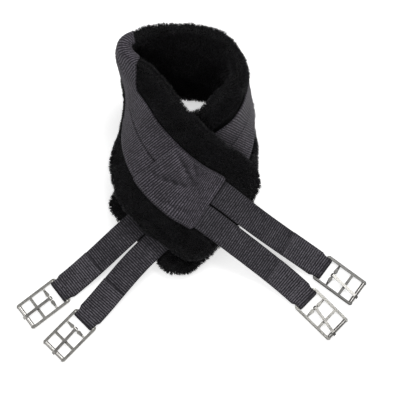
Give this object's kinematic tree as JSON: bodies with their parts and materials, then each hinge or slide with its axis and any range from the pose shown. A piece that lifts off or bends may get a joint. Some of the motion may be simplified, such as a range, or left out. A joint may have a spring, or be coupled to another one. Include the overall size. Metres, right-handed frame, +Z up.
{
  "type": "saddle girth",
  "caption": "Padded saddle girth lying curled in a loop: ribbed webbing on a fleece-lined pad, with straps and roller buckles at both ends.",
  "frame": {"origin": "centre of the curled girth's footprint, at ground level", "axes": "+Z up; +X towards the pair of buckles at the front end, which lies on top where the pad crosses itself; +Y towards the top of the loop"},
  "size_m": [0.4961, 0.4423, 0.1741],
  "materials": {
    "fleece": "deep plush pile",
    "foam": "open-cell foam",
    "webbing": "cross-ribbed woven webbing",
    "thread": "bonded sewing thread",
    "buckle_steel": "nickel plated, lightly worn",
    "roller_steel": "nickel plated",
    "tongue_steel": "nickel plated"
  },
  "bodies": {
    "girth": {"fleece_cover": "fleece", "foam_core": "foam", "lane_upper": "webbing", "lane_lower": "webbing", "end_patch_front": "webbing", "end_patch_under": "webbing", "lane_stitching": "thread", "patch_stitching_front": "thread", "patch_stitching_under": "thread", "strap_front_upper": "webbing", "strap_front_lower": "webbing", "strap_under_upper": "webbing", "strap_under_lower": "webbing", "fold_stitching_front_upper": "thread", "fold_stitching_front_lower": "thread", "fold_stitching_under_upper": "thread", "fold_stitching_under_lower": "thread"},
    "buckle_front_upper": {"buckle_frame_front_upper": "buckle_steel", "roller_pin_front_upper": "buckle_steel"},
    "tongue_front_upper": {"tongue_front_upper": "tongue_steel"},
    "roller_front_upper": {"roller_front_upper": "roller_steel"},
    "buckle_front_lower": {"buckle_frame_front_lower": "buckle_steel", "roller_pin_front_lower": "buckle_steel"},
    "tongue_front_lower": {"tongue_front_lower": "tongue_steel"},
    "roller_front_lower": {"roller_front_lower": "roller_steel"},
    "buckle_under_upper": {"buckle_frame_under_upper": "buckle_steel", "roller_pin_under_upper": "buckle_steel"},
    "tongue_under_upper": {"tongue_under_upper": "tongue_steel"},
    "roller_under_upper": {"roller_under_upper": "roller_steel"},
    "buckle_under_lower": {"buckle_frame_under_lower": "buckle_steel", "roller_pin_under_lower": "buckle_steel"},
    "tongue_under_lower": {"tongue_under_lower": "tongue_steel"},
    "roller_under_lower": {"roller_under_lower": "roller_steel"}
  },
  "joints": [
    {"name": "swing_front_upper", "type": "hinge", "parent": "girth", "child": "buckle_front_upper", "pos_m": [0.187, -0.087, 0.0046], "axis": [-0.6018, -0.7986, 0], "range_deg": [0, 65]},
    {"name": "tongue_front_upper", "type": "hinge", "parent": "buckle_front_upper", "child": "tongue_front_upper", "pos_m": [0.20057, -0.09723, 0.00417], "axis": [-0.6018, -0.7986, 0], "range_deg": [0, 110]},
    {"name": "roller_front_upper", "type": "hinge", "parent": "buckle_front_upper", "child": "roller_front_upper", "pos_m": [0.23378, -0.12226, 0.0031], "axis": [-0.6018, -0.7986, 0], "continuous": true},
    {"name": "swing_front_lower", "type": "hinge", "parent": "girth", "child": "buckle_front_lower", "pos_m": [0.162, -0.132, 0.0046], "axis": [-0.7071, -0.7071, 0], "range_deg": [0, 65]},
    {"name": "tongue_front_lower", "type": "hinge", "parent": "buckle_front_lower", "child": "tongue_front_lower", "pos_m": [0.17402, -0.14402, 0.00417], "axis": [-0.7071, -0.7071, 0], "range_deg": [0, 110]},
    {"name": "roller_front_lower", "type": "hinge", "parent": "buckle_front_lower", "child": "roller_front_lower", "pos_m": [0.20342, -0.17342, 0.0031], "axis": [-0.7071, -0.7071, 0], "continuous": true},
    {"name": "swing_under_upper", "type": "hinge", "parent": "girth", "child": "buckle_under_upper", "pos_m": [-0.188, -0.12, 0.0046], "axis": [-0.6157, 0.788, 0], "range_deg": [0, 65]},
    {"name": "tongue_under_upper", "type": "hinge", "parent": "buckle_under_upper", "child": "tongue_under_upper", "pos_m": [-0.20139, -0.13046, 0.00417], "axis": [-0.6157, 0.788, 0], "range_deg": [0, 110]},
    {"name": "roller_under_upper", "type": "hinge", "parent": "buckle_under_upper", "child": "roller_under_upper", "pos_m": [-0.23416, -0.15607, 0.0031], "axis": [-0.6157, 0.788, 0], "continuous": true},
    {"name": "swing_under_lower", "type": "hinge", "parent": "girth", "child": "buckle_under_lower", "pos_m": [-0.152, -0.162, 0.0046], "axis": [-0.7193, 0.6947, 0], "range_deg": [0, 65]},
    {"name": "tongue_under_lower", "type": "hinge", "parent": "buckle_under_lower", "child": "tongue_under_lower", "pos_m": [-0.16381, -0.17422, 0.00417], "axis": [-0.7193, 0.6947, 0], "range_deg": [0, 110]},
    {"name": "roller_under_lower", "type": "hinge", "parent": "buckle_under_lower", "child": "roller_under_lower", "pos_m": [-0.19269, -0.20414, 0.0031], "axis": [-0.7193, 0.6947, 0], "continuous": true}
  ]
}
